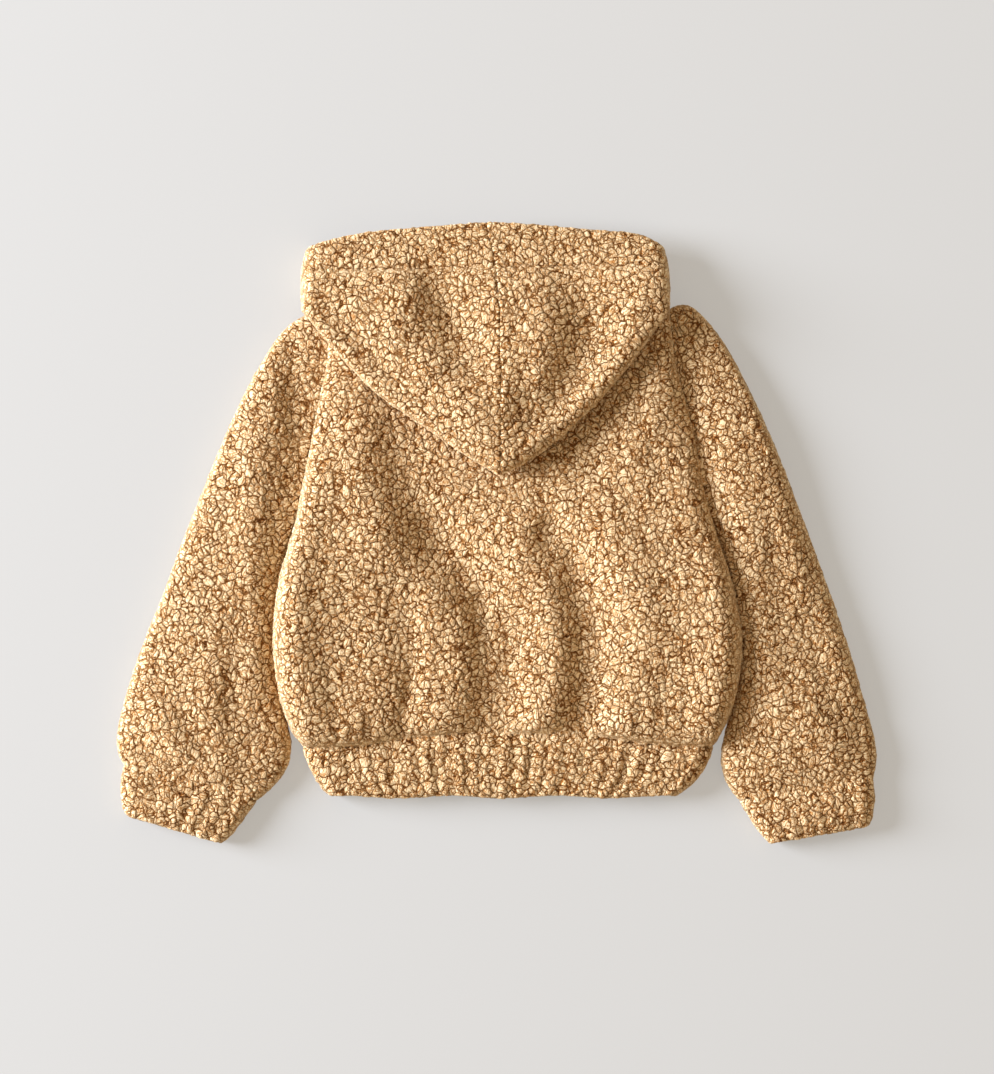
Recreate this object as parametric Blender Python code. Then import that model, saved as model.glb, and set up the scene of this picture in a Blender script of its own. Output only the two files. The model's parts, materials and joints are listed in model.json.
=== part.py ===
"""A child's plush hoodie laid flat on its front, the hood thrown back over the back panel.

Every piece is a wall of cloth, backing and pile together, sewn edge to edge with the next one. Lengths are in
millimetres. X runs across the garment, Y up towards the hood and Z up off the surface it lies on.
"""

from types import SimpleNamespace

import bpy
import numpy as np

MM = 0.001
MIDDLE = (-0.7, 0.0, 0.0)  # of the whole outline, moved to the origin
CLOTH = 6.0  # knitted backing with its pile pressed down
SEAM_GAP = 0.3
BAND_GAP = 0.8  # the band's seam waves, and its two sides follow it in steps of unlike length
ROOM = 1.5  # between cloth that only lies on cloth
THINNING_STEPS, STILL_FACING = 12, 0.6

BODY_WIDTH, BODY_LENGTH = 385.0, 420.0  # usual sizes, for spacing points evenly
HOOD_WIDTH, HOOD_LENGTH = 175.0, 150.0
SHOULDER_TIP = 9.0  # the sleeve runs this far in under the edge of the back
UNDERARM_Y = 27.0
SIDE_ROLL = 22.0
SHOULDER_ROLL = 14.0
HEM_ROLL = 20.0
FRONT_ROLL_SHARE = 0.75  # the front rounds up over less width than the back rounds down
TUBE_ROLL = 11.0
HOOD_ROLL = 14.0

BAND_TOP = 19.5  # height of the band where it is sewn on
EDGE_SEAM = 10.0  # height of the seam along the shoulders and at the band's sides
SLEEVE_RISE, CUFF_RISE = (17.8, 17.0), (19.0, 18.0)  # thickness laid flat, at the outer and at the inner edge
BAND_RIPPLE, CUFF_RIPPLE = 1.6, 1.2  # depth of the gathers
HOOD_TOP = 48.0
LIP_DROP = 21.0  # how far the hood sinks towards its mouth


def table(names, *rows):
    """A short table as named columns."""
    return SimpleNamespace(**dict(zip(names.split(), np.array(rows, float).T)))


def curve(at, knots, values):
    """A smooth line through values at rising knots."""
    slopes = np.gradient(values, knots)
    at = np.clip(at, knots[0], knots[-1])
    i = np.clip(np.searchsorted(knots, at, side="right") - 1, 0, len(knots) - 2)
    span = knots[i + 1] - knots[i]
    u = (at - knots[i]) / span
    rise = values[i + 1] - values[i]
    start, end = slopes[i] * span, slopes[i + 1] * span
    bow = 3 * rise - 2 * start - end + u * (start + end - 2 * rise)
    return values[i] + u * (start + u * bow)


def ease(value, low, high):
    u = np.clip((value - low) / (high - low), 0, 1)
    return u * u * (3 - 2 * u)


def roll(distance, radius):
    """0 at an edge, rising as a quarter ellipse to 1 at the radius."""
    u = np.clip(distance / radius, 0, 1)
    return np.sqrt(np.maximum(0, 1 - (1 - u) ** 2))


def spaced(length, count, start_roll, end_roll, steps=4):
    """Shares of a length, closer together where the cloth rounds over at either end."""
    turn = 1 - np.cos(np.linspace(0, np.pi / 2, steps + 1))
    start = turn * start_roll / length if start_roll else np.zeros(1)
    end = 1 - (turn * end_roll / length)[::-1] if end_roll else np.ones(1)
    middle = np.linspace(start[-1], end[0], count + 1)[1:-1]
    return np.concatenate([start, middle, end])


# The body's outline: its two edges, the height at which the back's edge ends, and how far in from the edge
# the back is still rounding over. The edge ends on the sleeve down to the underarm, below it on the front.
SIDES = table(
    "y left right seam roll",
    (214, -158, 163, 10.5, 12),
    (204, -158, 164, 18.5, 14),
    (160, -161, 168, 18.5, 18),
    (123, -169, 179, 18.5, 20),
    (86, -176, 188, 18.5, 20),
    (50, -183, 193.5, 18.5, 20),
    (15, -189.5, 203, 18.5, 20),
    (-35, -204, 218.5, 22.3, 22),
    (-79, -211, 229, 22.3, 22),
    (-105, -212, 232, 22.3, 22),
    (-142, -208, 228.5, 22.3, 22),
    (-176, -201, 220, 18, 16),
    (-203, -184, 205, 11.5, 5.5),
)

# Shoulders and necklines across the top, at shares of the width.
TOP = table(
    "share back front",
    (0, 213, 213),
    (0.14, 226, 226),
    (0.265, 237, 237),
    (0.38, 229.5, 208),
    (0.508, 226, 198),
    (0.62, 229.5, 208),
    (0.726, 238, 238),
    (0.86, 228, 228),
    (1, 215, 215),
)
NECK_START, NECK_END = 0.265, 0.726

# The seam of the hem band, pulled up between its gathers.
HEM = table(
    "share y",
    (0, -202),
    (0.12, -202),
    (0.26, -193),
    (0.43, -188),
    (0.55, -189.5),
    (0.66, -188),
    (0.82, -198),
    (1, -202),
)

# Folds of the back: ridges (rise above 0) and troughs, each along a bent line of three points.
BACK_FOLDS = table(
    "x0 y0 x1 y1 x2 y2 width rise",
    (-60, -6, 34, -84, -10, -190, 14, -11),
    (46, 0, 122, -96, 78, -192, 13, -11),
    (-128, 95, -118, 5, -66, -40, 19, 7),
    (-52, -62, -32, -110, -50, -190, 16, 9),
    (22, 3, 80, -98, 42, -192, 15, 10),
    (98, 15, 160, -85, 119, -190, 19, 10),
    (-86, -105, -82, -150, -84, -190, 8, -5),
    (164, -135, 160, -160, 158, -195, 8, -5),
    (146, -95, 136, -125, 130, -160, 9, -3),
    (-106, 126, -92, 70, -60, 0, 17, -4),
    (160, 160, 152, 110, 118, 60, 15, 6),
    (-172, 60, -206, -80, -180, -170, 14, 5),
    (207, -20, 222, -90, 205, -165, 14, 4),
    (-118, 0, -124, -60, -112, -150, 22, 4),
    (-135, -60, -150, -110, -140, -165, 13, -3),
)

# Sleeves, shoulder to cuff: the outer edge, the inner edge against the body, and how far the middle swells.
LEFT_SLEEVE = table(
    "outer_x outer_y inner_x inner_y swell",
    (-149.5, 204, -179.5, 27, 0),
    (-170, 210, -183, 17, 1),
    (-196, 199, -188, 4, 3),
    (-219, 169, -196, -15, 6),
    (-245, 121, -202.5, -35, 8),
    (-268, 67, -207, -60, 9),
    (-292, 8, -210, -88, 9),
    (-316, -57, -210, -120, 9),
    (-340, -116, -205.5, -156, 10),
    (-355, -166, -196.5, -189, 10),
    (-362, -200, -199, -225, 8),
    (-354, -220, -228, -253.5, 0),
)
RIGHT_SLEEVE = table(
    "outer_x outer_y inner_x inner_y swell",
    (155.5, 204, 191.5, 27, 0),
    (176, 219, 196, 17, 1),
    (199, 202, 203, 4, 3),
    (222, 169, 210, -15, 6),
    (246, 121, 217, -35, 8),
    (270, 67, 224, -60, 9),
    (292, 8, 228.5, -88, 9),
    (316, -57, 229.5, -120, 9),
    (336, -116, 225.5, -156, 10),
    (350, -166, 216.5, -189, 10),
    (361, -206, 213, -225, 8),
    (357, -233.5, 230, -253.5, 0),
)
LEFT_CUFF = table(
    "outer_x outer_y inner_x inner_y swell",
    (-354, -220.6, -228.5, -254.1, 0),
    (-357.5, -238, -241, -271, 4),
    (-356, -256, -251, -285, 3),
    (-353, -268, -261, -295, 0),
)
RIGHT_CUFF = table(
    "outer_x outer_y inner_x inner_y swell",
    (357, -234.1, 230.5, -254.1, 0),
    (359, -250, 240, -270, 4),
    (357.5, -266, 249.5, -284, 3),
    (354, -278, 259, -295, 0),
)
SLEEVE_FOLDS = table(
    "x0 y0 x1 y1 x2 y2 width rise",
    (-252, 40, -260, -80, -240, -205, 10, -4),
    (-262, 50, -288, -80, -268, -190, 13, 4),
    (-212, 150, -222, 60, -236, -60, 12, 5),
    (-340, -165, -310, -205, -262, -228, 10, 5),
    (-255, -170, -275, -200, -300, -222, 8, -3),
    (262, -20, 272, -90, 282, -170, 13, -3),
    (250, 120, 262, 50, 290, -40, 13, 5),
    (290, -95, 310, -150, 345, -185, 9, -4),
    (262, -165, 290, -190, 325, -205, 10, 5),
)

# Outline of the hood's two halves, each from the middle of the mouth: along the mouth, down the side, and
# along the slanting edge back to the tip.
MOUTH = table(
    "left_x left_y right_x right_y",
    (-10, 295, -10, 295),
    (-54, 291, 50, 291),
    (-92, 288, 98, 286),
    (-149, 280, 140, 282),
    (-180, 270, 158, 271),
)
SIDE = table(
    "left_x left_y right_x right_y",
    (-180, 270, 158, 271),
    (-184, 252, 162, 252),
    (-185, 232, 163, 232),
    (-184, 211, 162, 210),
)
SLANT = table(
    "left_x left_y right_x right_y",
    (3, 53, 3, 53),
    (-40, 79, 41, 74),
    (-73, 103, 69, 98),
    (-116, 133, 98, 126),
    (-149, 168, 132, 168),
    (-184, 211, 162, 210),
)
SEAM = table(
    "x y",
    (-10, 295),
    (0, 240),
    (3, 180),
    (4, 110),
    (3, 53),
)

# Two points of the lower edge of the mouth, between the throat and the corner, for the half at +X
LOWER_RIM = np.array([(28, 243), (80, 264)])

HOOD_FOLDS = table(
    "x0 y0 x1 y1 x2 y2 width rise",
    (-94, 240, -88, 150, -4, 106, 13, 9),
    (-160, 222, -118, 168, -82, 140, 10, -4),
    (-60, 250, -44, 205, -30, 179, 17, -7),
    (8, 232, 14, 190, 6, 130, 10, 6),
    (14, 118, 24, 95, 14, 66, 10, 4),
    (30, 235, 60, 200, 34, 138, 12, 4),
    (62, 252, 112, 200, 52, 118, 16, -7),
    (135, 235, 130, 180, 90, 135, 16, 3),
)


def relief(folds, x, y):
    """Height that the folds add at x, y."""
    total = np.zeros(np.shape(x))
    u = np.linspace(0, 1, 17)
    for k in range(len(folds.rise)):
        line_x = folds.x0[k] * (1 - u) ** 2 + 2 * folds.x1[k] * u * (1 - u) + folds.x2[k] * u**2
        line_y = folds.y0[k] * (1 - u) ** 2 + 2 * folds.y1[k] * u * (1 - u) + folds.y2[k] * u**2
        away = ((np.expand_dims(x, -1) - line_x) ** 2 + (np.expand_dims(y, -1) - line_y) ** 2).min(-1)
        total = total + folds.rise[k] * np.exp(-away / folds.width[k] ** 2)
    return total


def edges_at(y):
    """The body's left and right edges at height y up the garment."""
    rising = slice(None, None, -1)
    knots = SIDES.y[rising]
    return curve(y, knots, SIDES.left[rising]), curve(y, knots, SIDES.right[rising])


def side_at(y, column):
    rising = slice(None, None, -1)
    return np.interp(y, SIDES.y[rising], getattr(SIDES, column)[rising])


def back_height(x, y):
    """Height of the back's upper face away from its edges."""
    left, right = edges_at(y)
    across = np.abs(2 * (x - left) / (right - left) - 1)
    sides, lower = ease(across, 0.3, 0.85), ease(-y, -120, 40)
    return 22.5 + 6 * sides + (6 + 4 * sides) * lower + relief(BACK_FOLDS, x, y)


def body_plan(top_y, share, down):
    """x, y of the body's panels at shares of the width and of the length."""
    edge_y = SIDES.y[0] + (SIDES.y[-1] - SIDES.y[0]) * down
    left, right = edges_at(edge_y)
    x = left + (right - left) * share
    first = curve(share, TOP.share, top_y)
    last = curve(share, HEM.share, HEM.y)
    return x, first + (last - first) * down, edge_y, left, right


BODY_ROWS = spaced(BODY_LENGTH, 18, SHOULDER_ROLL, HEM_ROLL, 3)


def on_shoulder(share):
    """1 along the shoulder seams and 0 along the neck."""
    neck = ease(share, NECK_START, NECK_START + 0.06) * (1 - ease(share, NECK_END - 0.06, NECK_END))
    return 1 - neck


def back_points():
    share, down = np.meshgrid(spaced(BODY_WIDTH, 18, SIDE_ROLL, SIDE_ROLL), BODY_ROWS)
    x, y, edge_y, left, right = body_plan(TOP.back, share, down)
    side = np.minimum(x - left, right - x)
    side_roll, seam = side_at(edge_y, "roll"), side_at(edge_y, "seam")
    over_shoulder = 1 - on_shoulder(share) * (1 - roll(down * BODY_LENGTH, SHOULDER_ROLL))
    over_hem = roll((1 - down) * BODY_LENGTH, HEM_ROLL)
    middle = np.where(down < 0.5, EDGE_SEAM + SEAM_GAP, BAND_TOP)
    rim = seam + (middle - seam) * ease(side / side_roll, 0, 1)
    z = rim + (back_height(x, y) - rim) * roll(side, side_roll) * over_shoulder * over_hem
    return np.stack([x, y, z], -1)


def front_points():
    """The front's lower face: flat on the surface, and turned up where it meets the back."""
    share, down = np.meshgrid(spaced(BODY_WIDTH, 14, SIDE_ROLL, SIDE_ROLL, 3), BODY_ROWS)
    x, y, edge_y, left, right = body_plan(TOP.front, share, down)
    armhole = ease(edge_y, UNDERARM_Y - 57, UNDERARM_Y - 27)
    pulled_in = (SHOULDER_TIP + SEAM_GAP) * armhole
    x = x + pulled_in * (1 - ease(share, 0, 0.25)) - pulled_in * ease(share, 0.75, 1)
    side = np.minimum(x - left, right - x) - pulled_in
    joined = (side_at(edge_y, "seam") - SEAM_GAP) * np.maximum(ease(edge_y, 206, 214), 1 - armhole)
    up_side = joined * (1 - roll(side, FRONT_ROLL_SHARE * side_at(edge_y, "roll")))
    up_shoulder = EDGE_SEAM * on_shoulder(share) * (1 - roll(down * BODY_LENGTH, SHOULDER_ROLL))
    return np.stack([x, y, np.maximum(up_side, up_shoulder)], -1)


def ring_points(outer, inner, rise_outer, rise_inner, swell, folds, ripple, counts):
    """One flattened ring: over the top from its outer to its inner end, and back along the surface."""
    length = np.linalg.norm(inner - outer)
    upper = spaced(length, counts[0], TUBE_ROLL, TUBE_ROLL)
    lower = spaced(length, counts[1], TUBE_ROLL, TUBE_ROLL, 3)[-2:0:-1]
    share = np.concatenate([upper, lower])
    on_top = np.arange(len(share)) < len(upper)
    plan = outer + (inner - outer) * share[:, None]
    over = roll(np.minimum(share, 1 - share) * length, TUBE_ROLL)
    half = (rise_outer * (1 - share) + rise_inner * share) / 2
    puff = swell * 4 * share * (1 - share) + relief(folds, *plan.T) * min(1, swell / 4)
    height = 2 * half + puff + ripple(share)
    z = np.where(on_top, half + (height - half) * over, half * (1 - over))
    return np.column_stack([plan, z])


def tube_points(rows, stations, rise, folds, ripple, counts):
    """A tube through a table of outer and inner edges, flat on the surface."""
    knots = np.arange(len(rows.swell), dtype=float)
    rings = []
    for at in np.linspace(0, knots[-1], stations):
        outer = np.array([curve(at, knots, rows.outer_x), curve(at, knots, rows.outer_y)])
        inner = np.array([curve(at, knots, rows.inner_x), curve(at, knots, rows.inner_y)])
        swell = curve(at, knots, rows.swell)
        rings.append(ring_points(outer, inner, rise[0], rise[1], swell, folds, ripple, counts))
    return np.array(rings)


def gathers(count, depth, seed):
    """Uneven ripples of a gathered edge, at shares of its width."""
    chance = np.random.default_rng(seed)
    phase = np.cumsum(chance.uniform(0.6, 1.4, count + 1))
    phase = (phase - phase[0]) / (phase[-1] - phase[0])
    strength = chance.uniform(0.4, 1, count + 1)

    def ripple(share):
        turn = np.interp(share, phase, np.arange(count + 1))
        return depth * np.interp(share, phase, strength) * np.cos(2 * np.pi * turn)

    return ripple


BAND_ROWS = table(
    "down left right rise ripple",
    (0, -184, 205, 19.5, 0.6),
    (0.12, -183, 203, 22, 1),
    (0.5, -177, 197, 23, 1),
    (0.85, -166, 181, 21.5, 0.9),
    (1, -159, 170, 19.5, 0.8),
)
BAND_BOTTOM = -250.0


def band_points():
    ripple = gathers(26, BAND_RIPPLE, 4)
    rings = []
    for k in range(len(BAND_ROWS.down)):
        left, right, rise = BAND_ROWS.left[k], BAND_ROWS.right[k], BAND_ROWS.rise[k]
        length = right - left
        upper = spaced(length, 80, TUBE_ROLL, TUBE_ROLL)
        lower = spaced(length, 22, TUBE_ROLL, TUBE_ROLL, 3)[-2:0:-1]
        share = np.concatenate([upper, lower])
        on_top = np.arange(len(share)) < len(upper)
        seam_y = curve(share, HEM.share, HEM.y) - BAND_GAP
        wave = 1.2 * np.sin(share * 2 * np.pi * 3.3 + 0.6)
        y = seam_y + (BAND_BOTTOM + wave - seam_y) * BAND_ROWS.down[k]
        over = roll(np.minimum(share, 1 - share) * length, TUBE_ROLL)
        height = rise + ripple(share) * BAND_ROWS.ripple[k]
        z = np.where(on_top, rise / 2 + (height - rise / 2) * over, rise / 2 * (1 - over))
        rings.append(np.column_stack([left + length * share, y, z]))
    return np.array(rings)


def line_of(x, y, shares):
    """Points at shares of a smooth line through a few x, y pairs."""
    points = np.column_stack([x, y]).astype(float)
    steps = np.linalg.norm(np.diff(points, axis=0), axis=1)
    knots = np.concatenate([[0], np.cumsum(steps)]) / steps.sum()
    return np.stack([curve(shares, knots, column) for column in points.T], -1)


def patch(near, far, first, last, across, first_bend, last_bend):
    """Straight rows between two edges, near and far, bent as the first and last rows are, a share a row."""
    u = across[None, :, None]

    def bend(row, share):
        chord = row[0] + (row[-1] - row[0]) * across[:, None]
        return (row - chord)[None] * share[:, None, None]

    return (1 - u) * near[:, None] + u * far[:, None] + bend(first, first_bend) + bend(last, last_bend)


# The line over both shoulders and round behind the neck. The hood drops to the surface beyond it.
SHOULDERS = table(
    "x y",
    (-240, 185),
    (-190, 206),
    (-158, 213),
    (-73, 237),
    (-66, 246),
    (5, 250),
    (68, 246),
    (75, 238),
    (163, 215),
    (200, 206),
    (240, 185),
)

# Where the hood is sewn on, a row for each of its first rows: a share of the body's width, the neckline of
# the front (0) or the back (1), how far outside it the hood passes, and how far the row bends with the mouth.
NECK_SEAM = table(
    "left right panel clear bend",
    (0.508, 0.508, 0, 0.5, 1),
    (0.44, 0.57, 0, 2, 0.85),
    (0.37, 0.63, 0, 2.5, 0.65),
    (0.31, 0.69, 0, 2.5, 0.4),
    (0.255, 0.74, 1, 4, 0.1),
    (0.32, 0.67, 1, 0, 0),
    (0.41, 0.59, 1, 0, 0),
    (0.508, 0.508, 1, 0, 0),
)
THROAT_ROWS = 4  # the first rows lie on the surface, beyond the front's neckline


def seam_path(side, rows, tip):
    """The lower layer's inner edge: round the neck from the throat, then down its own seam to the tip."""
    share = getattr(NECK_SEAM, side)
    x = SIDES.left[0] + (SIDES.right[0] - SIDES.left[0]) * share
    front = curve(share, TOP.share, TOP.front)
    back = curve(share, TOP.share, TOP.back)
    y = front + (back - front) * NECK_SEAM.panel + NECK_SEAM.clear
    neck = np.column_stack([x, y])
    spine = neck[-1] + (tip - neck[-1]) * np.linspace(0, 1, rows - len(neck) + 1)[1:, None]
    return np.concatenate([neck, spine])


def rest_height(x, y, rows):
    """What the lower layer lies on: the back, or the surface beyond the shoulders and at the throat."""
    beyond = y - np.interp(x, SHOULDERS.x, SHOULDERS.y)
    height = (back_height(x, y) + ROOM) * (1 - ease(beyond, -1, 20))
    return np.where(rows < THROAT_ROWS, 0, height)


def hood_points(side):
    """Upper and lower layer of half the hood. They share the fold down its side and along its slant."""
    sign = -1 if side == "left" else 1
    across = spaced(HOOD_WIDTH, 8, 0, HOOD_ROLL)
    down = spaced(HOOD_LENGTH, 12, 0, HOOD_ROLL)
    seam = line_of(SEAM.x, SEAM.y, down) + [sign * SEAM_GAP / 2, 0]
    edge = line_of(getattr(SIDE, side + "_x"), getattr(SIDE, side + "_y"), down)
    mouth = line_of(getattr(MOUTH, side + "_x"), getattr(MOUTH, side + "_y"), across)
    slant = line_of(getattr(SLANT, side + "_x"), getattr(SLANT, side + "_y"), across)
    mouth[0], slant[0] = seam[0], seam[-1]
    plan = patch(seam, edge, mouth, slant, across, 1 - down, down)
    x, y = plan[..., 0], plan[..., 1]
    lip = ease(y, 215, 285)
    crest = HOOD_TOP - LIP_DROP * lip + relief(HOOD_FOLDS, x, y) * (1 - 0.7 * lip)

    near = seam_path(side, len(down), seam[-1]) + [sign * SEAM_GAP / 2, 0]
    near[-1] = seam[-1]
    rim = line_of(*np.array([near[0], *LOWER_RIM * [sign, 1], edge[0]]).T, across)
    bend = np.concatenate([NECK_SEAM.bend, np.zeros(len(down) - len(NECK_SEAM.bend))])
    under = patch(near, edge, rim, slant, across, bend, down)
    rest = rest_height(under[..., 0], under[..., 1], np.arange(len(down))[:, None])

    u, v = np.meshgrid(across, down)
    over = roll((1 - u) * HOOD_WIDTH, HOOD_ROLL) * roll((1 - v) * HOOD_LENGTH, HOOD_ROLL)
    nearer_side = (1 - v + 1e-6) / (2 - u - v + 2e-6)
    middle = (crest + rest) / 2
    fold = middle[:, -1:] * nearer_side + middle[-1:] * (1 - nearer_side)
    upper = np.dstack([plan, fold + (crest - fold) * over])
    lower = np.dstack([under, rest + (fold - rest) * (1 - over)])
    return upper, lower


def sheet_faces(index):
    """The quads of a grid of point numbers."""
    corners = index[:-1, :-1], index[:-1, 1:], index[1:, 1:], index[1:, :-1]
    return np.stack([corner.ravel() for corner in corners], -1)


def unit(vectors):
    return vectors / np.maximum(np.linalg.norm(vectors, axis=-1, keepdims=True), 1e-9)


def facing(points, faces):
    a, b, c, d = (points[faces[:, k]] for k in range(4))
    return unit(np.cross(c - a, d - b))


def point_normals(points, faces):
    normals = np.zeros(points.shape)
    for k in range(4):
        np.add.at(normals, faces[:, k], facing(points, faces))
    return unit(normals)


def inner_points(points, faces, normals):
    """The inside of the wall: a cloth's thickness in, less where it would cross itself in a tight bend."""
    depth = np.full((len(points), 1), CLOTH)
    for _ in range(THINNING_STEPS):
        inner = points - depth * normals
        over = (facing(inner, faces) * facing(points, faces)).sum(-1) < STILL_FACING
        depth[np.unique(faces[over])] *= 0.85
    return points - depth * normals


def rim_faces(faces, count):
    """Quads that join a sheet's open edges to those of its copy, whose points come count later."""
    start, end = faces.ravel(), np.roll(faces, -1, axis=1).ravel()
    open_edge = ~np.isin(start * count + end, end * count + start)
    start, end = start[open_edge], end[open_edge]
    return np.column_stack([end, start, start + count, end + count])


def piece(name, points, faces, turned, square, colour):
    """One sewn piece: its outer face, and a wall of cloth inside that, cut square at its seams."""
    faces = faces[:, ::-1] if turned else faces
    points = points.reshape(-1, 3)
    normals = unit(square(point_normals(points, faces)))
    both = (np.concatenate([points, inner_points(points, faces, normals)]) - MIDDLE) * MM
    quads = np.concatenate([faces, faces[:, ::-1] + len(points), rim_faces(faces, len(points))])
    mesh = bpy.data.meshes.new(name)
    mesh.from_pydata(both.tolist(), [], quads.tolist())
    mesh.shade_smooth()
    made = bpy.data.objects.new(name, mesh)
    material = bpy.data.materials.new(name + "_plush")
    material.use_nodes = True
    shader = material.node_tree.nodes["Principled BSDF"]
    shader.inputs["Base Color"].default_value = (*colour, 1)
    shader.inputs["Roughness"].default_value = 0.95
    shader.inputs["Metallic"].default_value = 0
    mesh.materials.append(material)
    GARMENT.objects.link(made)
    return made


def panel(name, points, turned, colour):
    """A body panel. Its side and shoulder seams are cut level where they stand up, and its hem upright."""
    index = np.arange(points.shape[0] * points.shape[1]).reshape(points.shape[:2])

    def square(normals):
        grid = normals.reshape(points.shape).copy()
        for edge, raised in ((np.s_[:, 0], points[:, 0, 2]), (np.s_[:, -1], points[:, -1, 2])):
            grid[(*edge, 2)] *= 1 - ease(raised, 2, EDGE_SEAM)
        share = (points[0, :, 0] - points[0, 0, 0]) / (points[0, -1, 0] - points[0, 0, 0])
        grid[0, :, 2] *= 1 - on_shoulder(share) * (points[0, :, 2] > 1)
        grid[-1, :, 1] = 0
        return grid.reshape(-1, 3)

    return piece(name, points, sheet_faces(index), turned, square, colour)


def tube(name, points, turned, colour):
    """A sleeve, cuff or band, with both of its ends cut square."""
    index = np.arange(points.shape[0] * points.shape[1]).reshape(points.shape[:2])

    def square(normals):
        grid = normals.reshape(points.shape).copy()
        for end in (0, -1):
            ring = points[end]
            widest = np.linalg.norm(ring - ring[0], axis=1).argmax()
            across = unit((ring[widest] - ring[0]) * [1, 1, 0])
            axis = np.array([-across[1], across[0], 0])
            grid[end] -= (grid[end] @ axis)[:, None] * axis
        return grid.reshape(-1, 3)

    return piece(name, points, sheet_faces(np.column_stack([index, index[:, 0]])), turned, square, colour)


def hood_half(name, side, colour):
    """Half the hood: both layers, joined along the fold, and cut square at the middle seam."""
    upper, lower = hood_points(side)
    rows, columns = upper.shape[:2]
    over = np.arange(rows * columns).reshape(rows, columns)
    under = over.copy()
    own = np.arange((rows - 1) * (columns - 1)).reshape(rows - 1, columns - 1)
    under[:-1, :-1] = rows * columns + own
    points = np.concatenate([upper.reshape(-1, 3), lower[:-1, :-1].reshape(-1, 3)])
    faces = np.concatenate([sheet_faces(over), sheet_faces(under)[:, ::-1]])

    spine = np.concatenate([over[:, 0], under[len(NECK_SEAM.left) - 1 : -1, 0]])

    def square(normals):
        normals[spine, 0] = 0
        return normals

    return piece(name, points, faces, side == "right", square, colour)


def no_ripple(share):
    return 0 * share


for old in list(bpy.data.objects):
    bpy.data.objects.remove(old)
GARMENT = bpy.data.collections.new("plush_hoodie")
bpy.context.scene.collection.children.link(GARMENT)

TAN = (0.50, 0.31, 0.145)
panel("body_back", back_points(), True, TAN)
panel("body_front", front_points(), False, TAN)
for name, rows, turned in (("sleeve_left", LEFT_SLEEVE, True), ("sleeve_right", RIGHT_SLEEVE, False)):
    tube(name, tube_points(rows, 20, SLEEVE_RISE, SLEEVE_FOLDS, no_ripple, (9, 4)), turned, TAN)
for name, rows, turned in (("cuff_left", LEFT_CUFF, True), ("cuff_right", RIGHT_CUFF, False)):
    ripple = gathers(8, CUFF_RIPPLE, len(name))
    tube(name, tube_points(rows, 4, CUFF_RISE, SLEEVE_FOLDS, ripple, (24, 5)), turned, TAN)
tube("hem_band", band_points(), True, TAN)
hood_half("hood_left", "left", TAN)
hood_half("hood_right", "right", TAN)
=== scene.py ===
import json
import math

import bmesh
import bpy
import numpy as np
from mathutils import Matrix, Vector
from mathutils.bvhtree import BVHTree

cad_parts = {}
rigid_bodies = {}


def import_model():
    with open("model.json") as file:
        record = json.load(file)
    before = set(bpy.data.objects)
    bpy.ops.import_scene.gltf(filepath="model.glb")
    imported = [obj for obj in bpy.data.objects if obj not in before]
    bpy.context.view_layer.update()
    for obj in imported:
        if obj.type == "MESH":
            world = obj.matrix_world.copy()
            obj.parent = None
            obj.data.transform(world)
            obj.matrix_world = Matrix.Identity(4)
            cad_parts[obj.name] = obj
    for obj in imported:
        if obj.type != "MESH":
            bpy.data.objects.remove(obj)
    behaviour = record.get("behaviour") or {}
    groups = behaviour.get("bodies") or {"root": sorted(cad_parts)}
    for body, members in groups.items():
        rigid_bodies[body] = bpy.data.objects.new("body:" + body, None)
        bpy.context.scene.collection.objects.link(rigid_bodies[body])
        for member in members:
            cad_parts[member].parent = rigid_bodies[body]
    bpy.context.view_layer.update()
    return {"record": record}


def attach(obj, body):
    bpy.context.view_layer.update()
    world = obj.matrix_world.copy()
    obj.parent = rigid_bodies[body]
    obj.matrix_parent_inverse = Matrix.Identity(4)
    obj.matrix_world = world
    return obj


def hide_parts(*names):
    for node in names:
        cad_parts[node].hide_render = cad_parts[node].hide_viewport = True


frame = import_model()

# The surface the garment lies on, and the light. It is a matt off-white light table, which glows a little so that
# shadows on it stay faint, seen from straight above by a long lens. A wide, low, soft light comes from the left.

IMAGE_HEIGHT = 1074
MM_PER_PIXEL = 0.95
VIEW_CENTRE = (0.0007, -0.0038)
CAMERA_HEIGHT = 3.2
OUTLINE_HEIGHT = 0.012  # where the garment's outline is, above the table
FILM_HEIGHT = 36
TABLE_WIDTH = 60  # so wide that its edge shows from no side


def linear(code):
    """A six-digit sRGB colour as linear numbers."""
    parts = [int(code[k : k + 2], 16) / 255 for k in (0, 2, 4)]
    return tuple(p / 12.92 if p <= 0.04045 else ((p + 0.055) / 1.055) ** 2.4 for p in parts)


def add(tree, kind, inputs=None, **settings):
    """A node with its settings. An input is given a value, or the socket or the node that feeds it."""
    made = tree.nodes.new(kind)
    for name, value in settings.items():
        setattr(made, name, value)
    for name, value in (inputs or {}).items():
        if isinstance(value, bpy.types.Node):
            value = value.outputs[0]
        if isinstance(value, bpy.types.NodeSocket):
            tree.links.new(value, made.inputs[name])
        else:
            made.inputs[name].default_value = value
    return made


def new_material(name):
    made = bpy.data.materials.new(name)
    made.use_nodes = True
    made.node_tree.nodes.clear()
    return made, made.node_tree


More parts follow.
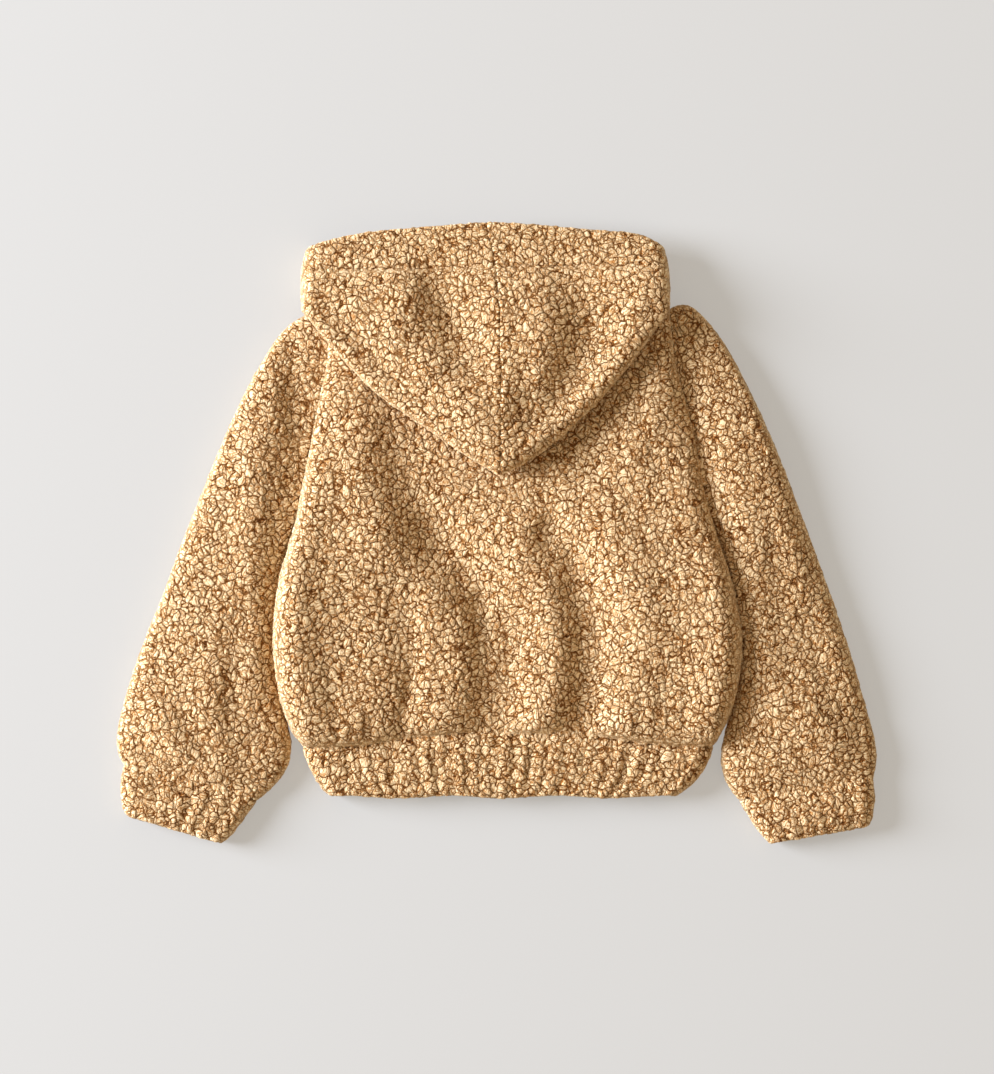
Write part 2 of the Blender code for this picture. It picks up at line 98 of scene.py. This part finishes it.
table_top, tree = new_material("matt_table_top")  # off-white and dull, with no grain that shows
cloudy = add(tree, "ShaderNodeTexNoise", {"Scale": 1.5, "Detail": 1.0})
tint = add(tree, "ShaderNodeValToRGB", {"Fac": cloudy})
tint.color_ramp.elements[0].color = (*linear("9A9997"), 1)
tint.color_ramp.elements[1].color = (*linear("9E9D9B"), 1)
dull = add(
    tree, "ShaderNodeBsdfPrincipled",
    {
        "Base Color": tint,
        "Roughness": 0.9,
        "Specular IOR Level": 0.2,
        "Emission Color": (*linear("FCFBF7"), 1),
        "Emission Strength": 0.35,
    },
)
add(tree, "ShaderNodeOutputMaterial", {"Surface": dull})

bpy.ops.mesh.primitive_plane_add(size=TABLE_WIDTH)
table = bpy.context.object
table.name = "table_top"
table.data.materials.append(table_top)

lens = bpy.data.cameras.new("long_lens")
lens.sensor_fit = "VERTICAL"
lens.sensor_height = FILM_HEIGHT
lens.lens = FILM_HEIGHT * (CAMERA_HEIGHT - OUTLINE_HEIGHT) / (IMAGE_HEIGHT * MM_PER_PIXEL / 1000)
lens.clip_end = 20
camera = bpy.data.objects.new("camera_above", lens)
camera.location = (*VIEW_CENTRE, CAMERA_HEIGHT)
bpy.context.collection.objects.link(camera)
bpy.context.scene.camera = camera

lamp = bpy.data.lights.new("window_light", "AREA")
lamp.shape = "DISK"
lamp.size = 3.4
lamp.energy = 1130
lamp.color = linear("E9F1FF")
window_light = bpy.data.objects.new("window_light", lamp)
window_light.location = (-5.9, 1.1, 2.35)
window_light.rotation_euler = (-window_light.location).to_track_quat("-Z", "Y").to_euler()  # towards the garment
bpy.context.collection.objects.link(window_light)

room = bpy.data.worlds.new("pale_room")
room.use_nodes = True
room.node_tree.nodes["Background"].inputs["Color"].default_value = (*linear("FBE5C8"), 1)
room.node_tree.nodes["Background"].inputs["Strength"].default_value = 0.49
bpy.context.scene.world = room
bpy.context.scene.view_settings.view_transform = "Standard"


# The back panel, cut from curly plush: a knitted backing, and a pile of short curls in clumps 6 to 8 mm wide, with dark
# cracks between them. It is sewn to the front, the sleeves and the band, and lies on the front in soft folds. Every
# later piece is cut from the same cloth, and its solid is smoothed and creased in the same way.

CLUMP_PITCH = 0.0068
CLUMP_STRETCH = (1.1, 0.86, 1.1)  # clumps are longer down the garment than across it
CLUMP_BEND = 0.0105  # how far the pattern of clumps is bent out of true
CURL_PITCH = 0.62 * CLUMP_PITCH  # the finest curls, where clumps break up
FIBRE_PITCH = 0.002  # real fibres are finer: this is as fine as the render shows
FIBRE_DRAW = (0.34, 1.0, 0.6)  # fibres are drawn out along the way they lie
# CRACK_SHADE is painted shade: the near-black brown put at the bottom of the cracks between clumps, where shade falls.
CRACK_SHADE, ROOT, TAN, CREAM = "3A1400", "C2782E", "F8CC90", "FFE6BA"
EASED = {"interpolation_type": "SMOOTHSTEP"}


def clump_pattern(tree, place):
    """The clumps of curls: how far a place is from a crack (0 to about 0.5), three random numbers and a centre."""
    bend = add(tree, "ShaderNodeTexNoise", {"Vector": place, "Scale": 105.0, "Detail": 1.0}).outputs["Color"]
    bend = add(tree, "ShaderNodeVectorMath", {0: bend, 1: (0.5, 0.5, 0.5)}, operation="SUBTRACT")
    bent = add(tree, "ShaderNodeVectorMath", {0: bend, 1: (CLUMP_BEND,) * 3, 2: place}, operation="MULTIPLY_ADD")
    drawn = add(tree, "ShaderNodeVectorMath", {0: bent, 1: CLUMP_STRETCH}, operation="MULTIPLY")
    cells = {"Vector": drawn, "Scale": 1 / CLUMP_PITCH}
    edge = add(tree, "ShaderNodeTexVoronoi", cells, feature="DISTANCE_TO_EDGE")
    clump = add(tree, "ShaderNodeTexVoronoi", cells, feature="F1").outputs
    centre = add(tree, "ShaderNodeVectorMath", {0: clump["Position"], 1: CLUMP_STRETCH}, operation="DIVIDE")
    return edge, clump["Color"], centre


def plush_material(name, raised):
    """Curly plush, a knit with its pile tumbled into curls. It is dull, because its fibres scatter light: tan on the
    curls, and cream and combed where the pile turns away down a side, with painted shade, a dark brown, in the cracks
    between clumps. On raised pile the pattern keeps the place it had before the pile was raised."""
    made, tree = new_material(name)
    if raised:
        place = add(tree, "ShaderNodeAttribute", attribute_name="laid").outputs["Vector"]
        lie = add(tree, "ShaderNodeAttribute", attribute_name="lie").outputs["Fac"]
    else:
        place = add(tree, "ShaderNodeTexCoord").outputs["Object"]
    edge, chance, _ = clump_pattern(tree, place)
    chances = add(tree, "ShaderNodeSeparateXYZ", {0: chance}).outputs
    if not raised:
        lie = add(tree, "ShaderNodeMath", {0: chances["Z"], 1: 3.1416}, operation="MULTIPLY")

    spun = add(tree, "ShaderNodeVectorRotate", {"Vector": place, "Angle": lie}, invert=True)
    combed = add(tree, "ShaderNodeVectorMath", {0: spun, 1: FIBRE_DRAW}, operation="MULTIPLY")
    fibre = add(
        tree, "ShaderNodeTexNoise", {"Vector": combed, "Scale": 1 / FIBRE_PITCH, "Detail": 2.0, "Roughness": 0.55}
    )
    ridge = add(tree, "ShaderNodeMath", {0: fibre, 1: 0.5}, operation="SUBTRACT")
    ridge = add(tree, "ShaderNodeMath", {0: ridge}, operation="ABSOLUTE")
    strand = add(tree, "ShaderNodeMapRange", {0: ridge, 1: 0.004, 2: 0.08}, **EASED)
    grain = add(tree, "ShaderNodeTexNoise", {"Vector": place, "Scale": 1500.0, "Detail": 1.0})  # single fibre ends
    patch = add(tree, "ShaderNodeTexNoise", {"Vector": place, "Scale": 26.0, "Detail": 2.0})  # how well it is combed

    # How far each place is from a crack, 0 in a crack and 1 on a clump, with finer curls breaking up some clumps.
    # Through depth this puts painted shade into the cracks at the ramp's dark end, and it also shapes the bump.
    opened = add(tree, "ShaderNodeMapRange", {0: edge, 1: 0.012, 2: 0.10}, **EASED)
    curl = add(
        tree, "ShaderNodeTexVoronoi", {"Vector": place, "Scale": 1 / CURL_PITCH}, feature="DISTANCE_TO_EDGE"
    )
    curled = add(tree, "ShaderNodeMapRange", {0: curl, 2: 0.09}, **EASED)
    whole = add(tree, "ShaderNodeMapRange", {0: patch, 1: 0.45, 2: 0.62, 3: 1.0, 4: 0.35}, **EASED)
    small = add(tree, "ShaderNodeMath", {0: curled, 1: whole}, operation="MAXIMUM")
    closed = add(tree, "ShaderNodeMapRange", {0: patch, 1: 0.30, 2: 0.46, 3: 0.45, 4: 0.0}, **EASED)
    depth = add(tree, "ShaderNodeMath", {0: opened, 1: small}, operation="MULTIPLY")
    depth = add(tree, "ShaderNodeMath", {0: depth, 1: closed}, operation="MAXIMUM")
    shades = []
    if raised:
        steep = add(tree, "ShaderNodeAttribute", attribute_name="steep").outputs["Fac"]
        side = add(tree, "ShaderNodeMapRange", {0: steep, 1: 0.5, 2: 0.97}, **EASED)
        brushed = add(tree, "ShaderNodeMath", {0: side, 1: 0.7}, operation="MULTIPLY")
        depth = add(tree, "ShaderNodeMath", {0: depth, 1: brushed}, operation="MAXIMUM")
        shades.append((side, 0.07))
    shown = add(tree, "ShaderNodeMath", {0: depth, 1: 0.5, 2: 0.5}, operation="MULTIPLY_ADD")
    shown = add(tree, "ShaderNodeMath", {0: strand, 1: shown}, operation="MULTIPLY")

    shades += [(depth, 0.31), (shown, 0.48), (grain, 0.9), (chances["X"], 0.04)]
    level = add(tree, "ShaderNodeMapRange", {0: patch, 1: 0.30, 2: 0.62, 3: -0.49, 4: -0.40}, **EASED)
    for value, weight in shades:
        level = add(tree, "ShaderNodeMath", {0: value, 1: weight, 2: level}, operation="MULTIPLY_ADD")
    ramp = add(tree, "ShaderNodeValToRGB", {"Fac": level})
    # The ramp's dark end is painted shade: CRACK_SHADE at the bottom of the cracks, and ROOT, the brown of the pile's
    # lower lengths, which is also partly painted shade down the cracks' sides.
    stops = ((0.11, CRACK_SHADE), (0.32, ROOT), (0.56, TAN), (0.86, CREAM))
    while len(ramp.color_ramp.elements) < len(stops):
        ramp.color_ramp.elements.new(0.5)
    for element, (at, code) in zip(ramp.color_ramp.elements, stops):
        element.position = at
        element.color = (*linear(code), 1)
    relief = add(tree, "ShaderNodeMath", {0: strand, 1: 1.2, 2: depth}, operation="MULTIPLY_ADD")
    bump = add(tree, "ShaderNodeBump", {"Height": relief, "Strength": 0.8, "Distance": 0.0009})
    pile = add(
        tree, "ShaderNodeBsdfPrincipled",
        {
            "Base Color": ramp,
            "Roughness": 0.95,
            "Specular IOR Level": 0.12,
            "Sheen Weight": 0.06,
            "Sheen Roughness": 0.5,
            "Sheen Tint": (*linear("FFE4BC"), 1),
            "Normal": bump,
        },
    )
    add(tree, "ShaderNodeOutputMaterial", {"Surface": pile})
    return made


def surfaces(pieces):
    """The pieces' surfaces together, for finding where cloth lies on cloth."""
    points, faces = [], []
    for piece in pieces:
        start = len(points)
        points.extend(v.co.copy() for v in piece.data.vertices)
        faces.extend([start + k for k in face.vertices] for face in piece.data.polygons)
    return BVHTree.FromPolygons(points, faces)


solid_cloth = surfaces([bpy.data.objects[sub["node"]] for sub in frame["record"]["subparts"]])
SEAM_REACH = 0.0016  # cloth that faces other cloth as near as this is sewn to it
OFF_FACE = 0.00005  # a ray starts this far off its face
SHARP_EDGE = 0.7  # radians
SEWN_EDGE = 0.5  # how sharp an edge stays beside a seam


def finished(piece):
    """The piece's modifiers made part of its mesh."""
    evaluated = piece.evaluated_get(bpy.context.evaluated_depsgraph_get())
    mesh = bpy.data.meshes.new_from_object(evaluated)
    piece.modifiers.clear()
    piece.data = mesh


def smooth_cloth(node):
    """The node's solid with its facets smoothed, and its edges kept where another piece is sewn on."""
    form = bmesh.new()
    form.from_mesh(bpy.data.objects[node].data)
    bmesh.ops.remove_doubles(form, verts=form.verts, dist=1e-5)
    sewn_faces = set()
    for face in form.faces:
        near = solid_cloth.ray_cast(face.calc_center_median() + face.normal * OFF_FACE, face.normal, SEAM_REACH)
        if near[0] is not None:
            sewn_faces.add(face.index)
    crease_edge = form.edges.layers.float.new("crease_edge")
    for edge in form.edges:
        if len(edge.link_faces) == 2 and edge.calc_face_angle() > SHARP_EDGE:
            if sum(face.index in sewn_faces for face in edge.link_faces) == 1:
                edge[crease_edge] = SEWN_EDGE
    bmesh.ops.join_triangles(
        form, faces=form.faces, angle_face_threshold=math.radians(40), angle_shape_threshold=math.radians(60)
    )
    mesh = bpy.data.meshes.new(node + "_cloth")
    form.to_mesh(mesh)
    form.free()
    piece = bpy.data.objects.new(node + "_cloth", mesh)
    bpy.context.collection.objects.link(piece)
    finer = piece.modifiers.new("finer", "SUBSURF")
    finer.levels = finer.render_levels = 2
    finished(piece)
    piece.data.shade_smooth()
    return piece


def crease(piece, rows):
    """Soft troughs and ridges pressed into the upper face of a cloth, each along a straight line from end to end. A row
    is from x, y to x, y, then the width of one side and the rise, or fall, in metres."""
    mesh = piece.data
    places = np.array([v.co for v in mesh.vertices])
    upward = np.clip(np.array([v.normal.z for v in mesh.vertices]) * 1.6, 0, 1)
    for x0, y0, x1, y1, width, rise in rows:
        start, along = np.array((x0, y0)), np.array((x1 - x0, y1 - y0))
        share = (places[:, :2] - start) @ along / (along @ along)
        across = np.linalg.norm(places[:, :2] - start - np.clip(share, 0, 1)[:, None] * along, axis=1)
        fading = np.sin(math.pi * np.clip(0.12 + 0.76 * share, 0, 1))
        places[:, 2] += rise * upward * fading * np.exp(-((across / width) ** 2))
    mesh.vertices.foreach_set("co", places.ravel())
    mesh.update()


cut_pieces = {}


def cut(node, flat, area, rests_on, creases=()):
    """One piece of cloth, laid as its solid lies. Its flat size is kept with it, but it is not used."""
    cloth = smooth_cloth(node)
    crease(cloth, creases)
    cut_pieces[node] = (cloth, flat, area, rests_on)


cut(
    "body_back", flat=(0.47, 0.46), area=0.175, rests_on=["body_front"],
    creases=(
        (-0.112, 0.070, -0.030, -0.066, 0.024, -0.0044),
        (-0.078, -0.120, -0.092, -0.190, 0.007, -0.0030),
        (-0.020, -0.040, -0.014, -0.150, 0.011, -0.0030),
        (0.078, -0.080, 0.076, -0.180, 0.010, -0.0034),
        (0.112, -0.060, 0.106, -0.185, 0.012, 0.0026),
        (0.030, -0.110, 0.036, -0.190, 0.009, 0.0022),
        (-0.066, -0.060, -0.066, -0.185, 0.010, 0.0026),
        (-0.195, 0.020, -0.190, -0.150, 0.014, 0.0024),
        (-0.160, -0.120, -0.150, -0.195, 0.007, -0.0020),
        (0.136, -0.150, 0.134, -0.195, 0.006, -0.0022),
        (0.182, -0.140, 0.176, -0.195, 0.007, -0.0018),
        (0.050, 0.090, 0.078, -0.020, 0.014, 0.0020),
        (0.130, 0.120, 0.170, 0.020, 0.013, -0.0016),
        (-0.118, -0.168, -0.122, -0.198, 0.005, -0.0018),
        (0.004, -0.165, 0.008, -0.198, 0.005, -0.0016),
        (0.064, -0.170, 0.058, -0.198, 0.004, -0.0014),
    ),
)


# The front panel, of the same plush, sewn to the back at the shoulders and sides. It lies face down on the table, so
# only its turned-up edges show, and it has no creases of its own.

cut("body_front", flat=(0.46, 0.45), area=0.163, rests_on=["table_top"])


# The sleeves, each one piece of plush sewn into a tube along its underside and set into the armhole. They lie on the
# table in long folds. The right one falls away from the light, with one wide ridge beside the body.

cut(
    "sleeve_left", flat=(0.38, 0.46), area=0.100, rests_on=["table_top"],
    creases=(
        (-0.196, 0.190, -0.188, 0.080, 0.012, -0.0030),
        (-0.226, 0.170, -0.244, -0.020, 0.012, 0.0026),
        (-0.270, -0.020, -0.286, -0.150, 0.013, -0.0028),
        (-0.336, -0.120, -0.300, -0.215, 0.012, 0.0022),
        (-0.300, -0.165, -0.262, -0.222, 0.010, -0.0022),
        (-0.226, -0.060, -0.236, -0.190, 0.010, 0.0018),
    ),
)
cut(
    "sleeve_right", flat=(0.36, 0.46), area=0.090, rests_on=["table_top"],
    creases=(
        (0.214, 0.180, 0.246, -0.130, 0.030, 0.0032),
        (0.262, 0.110, 0.318, -0.120, 0.026, -0.0036),
        (0.262, -0.150, 0.340, -0.196, 0.009, 0.0022),
        (0.246, -0.178, 0.310, -0.218, 0.008, -0.0020),
        (0.300, -0.030, 0.330, -0.140, 0.012, 0.0016),
    ),
)


# The cuffs, straight strips of plush turned double and sewn to the gathered ends of the sleeves. Only their outer
# halves show.

cut(
    "cuff_left", flat=(0.26, 0.07), area=0.0112, rests_on=["table_top"],
    creases=((-0.326, -0.226, -0.320, -0.256, 0.005, -0.0014), (-0.296, -0.236, -0.288, -0.266, 0.005, -0.0014)),
)
cut(
    "cuff_right", flat=(0.26, 0.07), area=0.0107, rests_on=["table_top"],
    creases=((0.286, -0.232, 0.290, -0.262, 0.005, -0.0014), (0.330, -0.228, 0.330, -0.258, 0.005, -0.0014)),
)


# The hem band, a straight strip of plush turned double and sewn to the gathered hem of the back and the front. The
# gathers run on into it as short, shallow troughs.

cut(
    "hem_band", flat=(0.80, 0.06), area=0.046, rests_on=["table_top"],
    creases=(
        (-0.142, -0.203, -0.138, -0.238, 0.006, -0.0016),
        (-0.096, -0.203, -0.094, -0.230, 0.005, -0.0018),
        (-0.048, -0.203, -0.052, -0.236, 0.006, -0.0014),
        (-0.012, -0.203, -0.006, -0.226, 0.004, -0.0016),
        (0.034, -0.203, 0.030, -0.238, 0.006, -0.0018),
        (0.080, -0.203, 0.086, -0.232, 0.005, -0.0016),
        (0.122, -0.203, 0.120, -0.240, 0.007, -0.0016),
        (0.158, -0.203, 0.152, -0.226, 0.005, -0.0014),
    ),
)


# The hood: two halves of plush sewn together down the middle, turned in and stitched down along the mouth. It lies
# thrown back over the back panel. The first crease of each half is the stitched edge of the turned hem.

cut(
    "hood_left", flat=(0.36, 0.36), area=0.066, rests_on=["body_back"],
    creases=(
        (-0.178, 0.2475, 0.000, 0.2515, 0.0032, -0.0046),
        (-0.062, 0.236, -0.034, 0.186, 0.015, -0.0026),
        (-0.150, 0.226, -0.072, 0.140, 0.013, 0.0024),
        (-0.110, 0.236, -0.060, 0.170, 0.010, -0.0014),
        (-0.034, 0.120, -0.006, 0.078, 0.012, 0.0020),
    ),
)
cut(
    "hood_right", flat=(0.34, 0.36), area=0.057, rests_on=["body_back"],
    creases=(
        (0.000, 0.2515, 0.160, 0.2530, 0.0032, -0.0046),
        (0.026, 0.160, 0.030, 0.090, 0.010, -0.0022),
        (0.112, 0.226, 0.080, 0.130, 0.024, -0.0032),
        (0.040, 0.220, 0.036, 0.120, 0.022, 0.0030),
        (0.140, 0.232, 0.124, 0.180, 0.010, 0.0014),
    ),
)


# The pile that stands on each piece, in curly clumps over the knitted backing. It is raised once every piece lies in
# its place, because none stands where cloth lies on cloth, inside the garment or on the face that it rests on.

PILE_STEP = 0.00144  # spacing of the pile's own mesh
PILE_DEPTH = 0.0009  # from the bottom of a crack to the top of a clump
PILE_TOP = 0.0014  # how far the tallest clumps stand above the solid's face
PILE_SINK = 0.0032  # how far the pile's mesh sinks into the cloth where no pile stands
PILE_FLOOR = 0.0003  # the pile comes no nearer the table
BACKING_INSET = 0.0022  # how far the backing's face is below the cloth's full height
BACKING_FLOOR = 0.0001
REST_CLEAR = 0.009  # no pile stands where other cloth is nearer than this
INSIDE_CLEAR = 0.06  # and none on level cloth with other cloth this near over or under it, as inside the garment
SEAM_CLEAR = 0.0035  # cloth with other cloth this near beside it is along a seam
SEAM_SPILL = 0.0042  # how far clumps beside a seam spread over it
RAY_START = 0.0001

cloths = [cloth for cloth, _, _, _ in cut_pieces.values()]
all_cloth = surfaces(cloths)
for cloth in cloths:
    mesh = cloth.data
    shares, seams = np.zeros(len(mesh.vertices)), np.zeros(len(mesh.vertices))
    for vertex in mesh.vertices:
        place, out = vertex.co, vertex.normal
        way = (out + Vector((0, 0, 0.8 * max(0.0, out.z + 0.2)))).normalized()
        reach = INSIDE_CLEAR if abs(out.z) > 0.8 else REST_CLEAR
        covered = all_cloth.ray_cast(place + way * RAY_START, way, reach)[0] is not None
        resting = out.z < -0.35 and place.z < 0.004
        shares[vertex.index] = float(not covered and not resting and out.z > -0.8)
        aside = Vector((out.x, out.y, 0.0))
        if aside.length > 0.15:
            aside.normalize()
            beside = all_cloth.ray_cast(place + aside * RAY_START, aside, SEAM_CLEAR)[0]
            seams[vertex.index] = float(beside is not None)
    mesh.attributes.new("pile", "FLOAT", "POINT").data.foreach_set("value", shares)
    mesh.attributes.new("seam", "FLOAT", "POINT").data.foreach_set("value", seams)


def pile_tree():
    """Geometry nodes that raise a pile in clumps over the parts of a cloth where it stands."""
    tree = bpy.data.node_groups.new("curly_pile", "GeometryNodeTree")
    face = tree.interface
    face.new_socket("Geometry", in_out="INPUT", socket_type="NodeSocketGeometry")
    for name, kind in (("Cloth", "Object"), ("Depth", "Float"), ("Top", "Float"), ("Material", "Material")):
        face.new_socket(name, in_out="INPUT", socket_type="NodeSocket" + kind)
    face.new_socket("Geometry", in_out="OUTPUT", socket_type="NodeSocketGeometry")
    given = add(tree, "NodeGroupInput").outputs
    source = add(tree, "GeometryNodeObjectInfo", {"Object": given["Cloth"]}).outputs["Geometry"]
    here = add(tree, "GeometryNodeInputPosition")
    out = add(tree, "GeometryNodeInputNormal")
    number = {"data_type": "FLOAT"}
    kept = {"data_type": "FLOAT", "domain": "POINT"}

    # Where the pile stands: 1 in full, and less towards its edges. The bare parts of the mesh are deleted.
    share = add(tree, "GeometryNodeInputNamedAttribute", {"Name": "pile"}, **number)
    there = add(tree, "GeometryNodeSampleNearestSurface", {"Mesh": source, "Value": share}, **number)
    full = add(tree, "ShaderNodeMapRange", {0: there, 1: 0.03, 2: 0.28})
    soft = add(tree, "GeometryNodeBlurAttribute", {0: full, "Iterations": 1}, **number)
    mesh = add(
        tree, "GeometryNodeStoreNamedAttribute", {"Geometry": given["Geometry"], "Name": "share", "Value": soft}, **kept
    )
    share = add(tree, "GeometryNodeInputNamedAttribute", {"Name": "share"}, **number)
    bare = add(tree, "FunctionNodeCompare", {0: share, 1: 0.01}, data_type="FLOAT", operation="LESS_THAN")
    mesh = add(
        tree, "GeometryNodeDeleteGeometry", {"Geometry": mesh, "Selection": bare}, domain="POINT", mode="ALL"
    )

    # What the material reads: each point's place and steepness before it is raised, and which way its clump lies. On a
    # slope that is down the slope, and on level cloth it is any way.
    mesh = add(
        tree, "GeometryNodeStoreNamedAttribute", {"Geometry": mesh, "Name": "laid", "Value": here},
        data_type="FLOAT_VECTOR", domain="POINT",
    )
    edge, chance, centre = clump_pattern(tree, here)
    chances = add(tree, "ShaderNodeSeparateXYZ", {0: chance}).outputs
    slope = add(
        tree, "GeometryNodeSampleNearestSurface", {"Mesh": source, "Value": out, "Sample Position": centre},
        data_type="FLOAT_VECTOR",
    )
    tilt = add(tree, "ShaderNodeSeparateXYZ", {0: slope}).outputs
    steep = add(tree, "ShaderNodeMath", {0: tilt["Y"], 1: tilt["Y"]}, operation="MULTIPLY")
    steep = add(tree, "ShaderNodeMath", {0: tilt["X"], 1: tilt["X"], 2: steep}, operation="MULTIPLY_ADD")
    steep = add(tree, "ShaderNodeMath", {0: steep}, operation="SQRT")
    stray = add(tree, "ShaderNodeMapRange", {0: steep, 1: 0.08, 2: 0.35, 3: 3.1416, 4: 0.7}, **EASED)
    downhill = add(tree, "ShaderNodeMath", {0: tilt["Y"], 1: tilt["X"]}, operation="ARCTAN2")
    lie = add(tree, "ShaderNodeMath", {0: chances["Z"], 1: stray, 2: downhill}, operation="MULTIPLY_ADD")
    mesh = add(tree, "GeometryNodeStoreNamedAttribute", {"Geometry": mesh, "Name": "lie", "Value": lie}, **kept)
    upright = add(tree, "ShaderNodeSeparateXYZ", {0: out}).outputs["Z"]
    flank = add(tree, "ShaderNodeMath", {0: upright, 1: upright}, operation="MULTIPLY")
    flank = add(tree, "ShaderNodeMath", {0: 1.0, 1: flank}, operation="SUBTRACT")
    flank = add(tree, "ShaderNodeMath", {0: flank}, operation="SQRT")
    mesh = add(tree, "GeometryNodeStoreNamedAttribute", {"Geometry": mesh, "Name": "steep", "Value": flank}, **kept)

    # How high each point stands: least in the cracks, unlike from clump to clump, and more even down the flanks.
    flank = add(tree, "GeometryNodeInputNamedAttribute", {"Name": "steep"}, **number)
    drop = add(tree, "ShaderNodeMapRange", {0: edge, 2: 0.26, 3: 1.0, 4: 0.0})
    drop = add(tree, "ShaderNodeMath", {0: drop, 1: 2.2}, operation="POWER")
    drop = add(tree, "ShaderNodeMath", {0: chances["X"], 1: 0.3, 2: drop}, operation="MULTIPLY_ADD")
    even = add(tree, "ShaderNodeMapRange", {0: flank, 1: 0.5, 2: 0.97, 3: 1.0, 4: 0.45}, **EASED)
    drop = add(tree, "ShaderNodeMath", {0: drop, 1: even}, operation="MULTIPLY")
    high = add(tree, "ShaderNodeMath", {0: drop, 1: given["Depth"]}, operation="MULTIPLY")
    high = add(tree, "ShaderNodeMath", {0: given["Top"], 1: high}, operation="SUBTRACT")
    high = add(tree, "ShaderNodeMath", {0: high, 1: PILE_SINK}, operation="ADD")
    high = add(tree, "ShaderNodeMath", {0: high, 1: share, 2: -PILE_SINK}, operation="MULTIPLY_ADD")
    lean = add(tree, "ShaderNodeVectorMath", {0: chance, 1: (0.5, 0.5, 0.5)}, operation="SUBTRACT")
    way = add(tree, "ShaderNodeVectorMath", {0: lean, 1: (0.7, 0.7, 0.7), 2: out}, operation="MULTIPLY_ADD")
    push = add(tree, "ShaderNodeVectorMath", {0: way, "Scale": high}, operation="SCALE")

    # Beside a seam the clumps spread sideways over it, as the sewn edges of plush do.
    seam = add(tree, "GeometryNodeInputNamedAttribute", {"Name": "seam"}, **number)
    seam = add(tree, "GeometryNodeSampleNearestSurface", {"Mesh": source, "Value": seam}, **number)
    spill = add(tree, "ShaderNodeMath", {0: drop, 1: -0.9, 2: 1.0}, operation="MULTIPLY_ADD")
    for value in (seam, share, SEAM_SPILL):
        spill = add(tree, "ShaderNodeMath", {0: spill, 1: value}, operation="MULTIPLY")
    sideways = add(tree, "ShaderNodeVectorMath", {0: out, 1: (1.0, 1.0, 0.15)}, operation="MULTIPLY")
    push = add(tree, "ShaderNodeVectorMath", {0: sideways, 1: spill, 2: push}, operation="MULTIPLY_ADD")
    mesh = add(tree, "GeometryNodeSetPosition", {"Geometry": mesh, "Offset": push})

    after = add(tree, "ShaderNodeSeparateXYZ", {0: here}).outputs
    floor = add(tree, "ShaderNodeMath", {0: after["Z"], 1: PILE_FLOOR}, operation="MAXIMUM")
    clear = add(tree, "ShaderNodeCombineXYZ", {"X": after["X"], "Y": after["Y"], "Z": floor})
    mesh = add(tree, "GeometryNodeSetPosition", {"Geometry": mesh, "Position": clear})
    mesh = add(tree, "GeometryNodeSetShadeSmooth", {"Geometry": mesh})
    mesh = add(tree, "GeometryNodeRealizeInstances", {"Geometry": mesh})
    mesh = add(tree, "GeometryNodeSetMaterial", {"Geometry": mesh, "Material": given["Material"]})
    add(tree, "NodeGroupOutput", {"Geometry": mesh})
    return tree


curly_pile = pile_tree()
curled_pile = plush_material("curled_plush_pile", raised=True)
backing = plush_material("pressed_plush", raised=False)


def pile_on(cloth):
    """The pile that stands on one cloth, as a mesh of its own."""
    piece = bpy.data.objects.new(cloth.name.replace("_cloth", "_pile"), cloth.data)
    bpy.context.collection.objects.link(piece)
    even = piece.modifiers.new("even", "REMESH")
    even.mode = "VOXEL"
    even.voxel_size = PILE_STEP
    grow = piece.modifiers.new("pile", "NODES")
    grow.node_group = curly_pile
    values = {"Cloth": cloth, "Depth": PILE_DEPTH, "Top": PILE_TOP, "Material": curled_pile}
    for socket in curly_pile.interface.items_tree:
        if socket.name in values and socket.in_out == "INPUT":
            grow[socket.identifier] = values[socket.name]
    finished(piece)
    for name in ("share", "pile", "seam"):
        if name in piece.data.attributes:
            piece.data.attributes.remove(piece.data.attributes[name])
    return piece


def sink_backing(cloth):
    """The backing's face moved in under the pile, by the share of pile that stands there."""
    mesh = cloth.data
    shares = np.zeros(len(mesh.vertices))
    mesh.attributes["pile"].data.foreach_get("value", shares)
    places = np.array([v.co for v in mesh.vertices])
    normals = np.array([v.normal for v in mesh.vertices])
    places -= normals * (BACKING_INSET * shares)[:, None]
    places[:, 2] = np.maximum(places[:, 2], BACKING_FLOOR)
    mesh.vertices.foreach_set("co", places.ravel())
    mesh.materials.clear()
    mesh.materials.append(backing)
    mesh.update()


for node, (cloth, flat, area, rests_on) in cut_pieces.items():
    pile = pile_on(cloth)
    sink_backing(cloth)
    for part in (cloth, pile):
        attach(part, "root")
    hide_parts(node)
